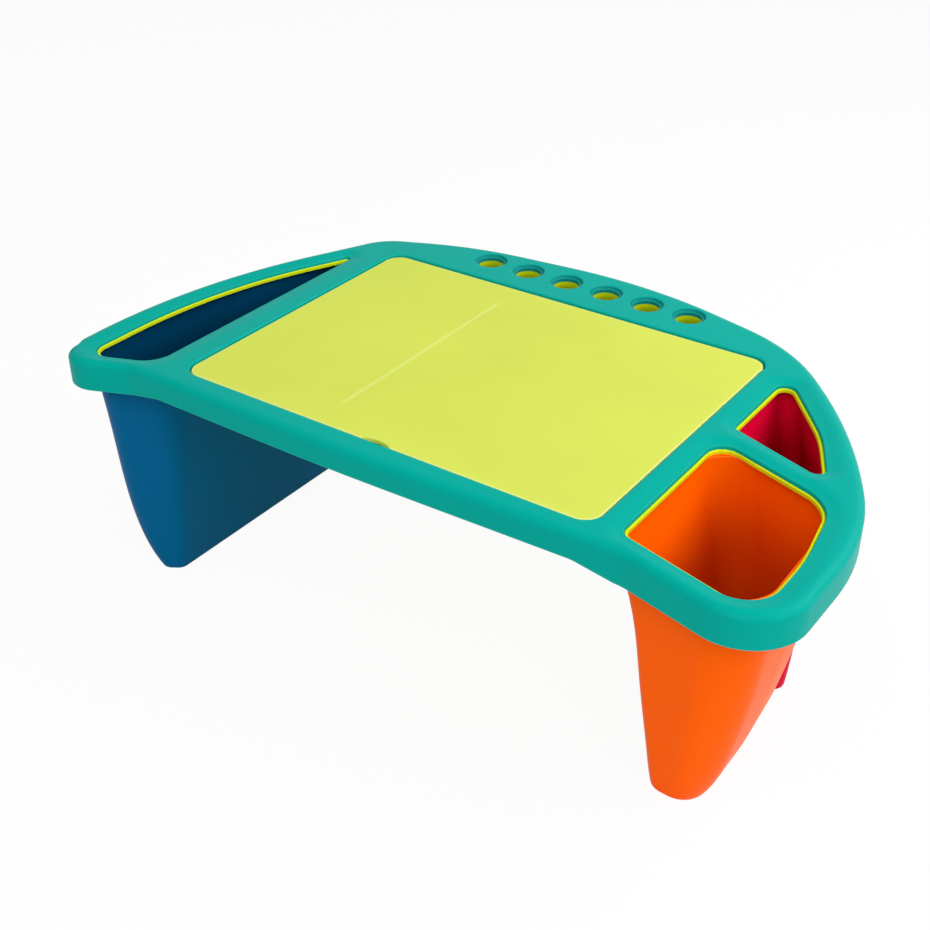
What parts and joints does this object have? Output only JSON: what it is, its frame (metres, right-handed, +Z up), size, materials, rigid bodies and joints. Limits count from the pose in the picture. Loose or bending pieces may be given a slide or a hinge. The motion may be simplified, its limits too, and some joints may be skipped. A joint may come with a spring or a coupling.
{
  "type": "lap desk",
  "caption": "Moulded plastic lap desk that stands over the legs on hollow leg bins, with a frosted lift-up lid over a paper tray and round pencil cups along the back.",
  "frame": {"origin": "middle of the desk's outline, on the surface it stands on", "axes": "+X to the user's right along the desk's length, +Y away from the user, +Z up"},
  "size_m": [0.5287, 0.3181, 0.1752],
  "materials": {
    "frame_plastic": "fine satin moulded polypropylene, teal",
    "tray_plastic": "fine satin moulded polypropylene, lime",
    "lid_plastic": "frosted translucent sheet",
    "blue_plastic": "fine satin moulded polypropylene, deep blue",
    "orange_plastic": "fine satin moulded polypropylene, orange",
    "red_plastic": "fine satin moulded polypropylene, raspberry red",
    "screw_steel": "zinc-plated self-tapping screws"
  },
  "bodies": {
    "desk": {"top_frame": "frame_plastic", "storage_tray": "tray_plastic", "blue_leg_bin": "blue_plastic", "orange_leg_bin": "orange_plastic", "red_leg_bin": "red_plastic", "tray_screws": "screw_steel", "bin_screws": "screw_steel"},
    "lid_panel": {"lid": "lid_plastic"}
  },
  "joints": [
    {"name": "lid_hinge", "type": "hinge", "parent": "desk", "child": "lid_panel", "pos_m": [-0.0176, 0.09045, 0.1715], "axis": [-1, 0, 0], "range_deg": [0, 100]}
  ]
}
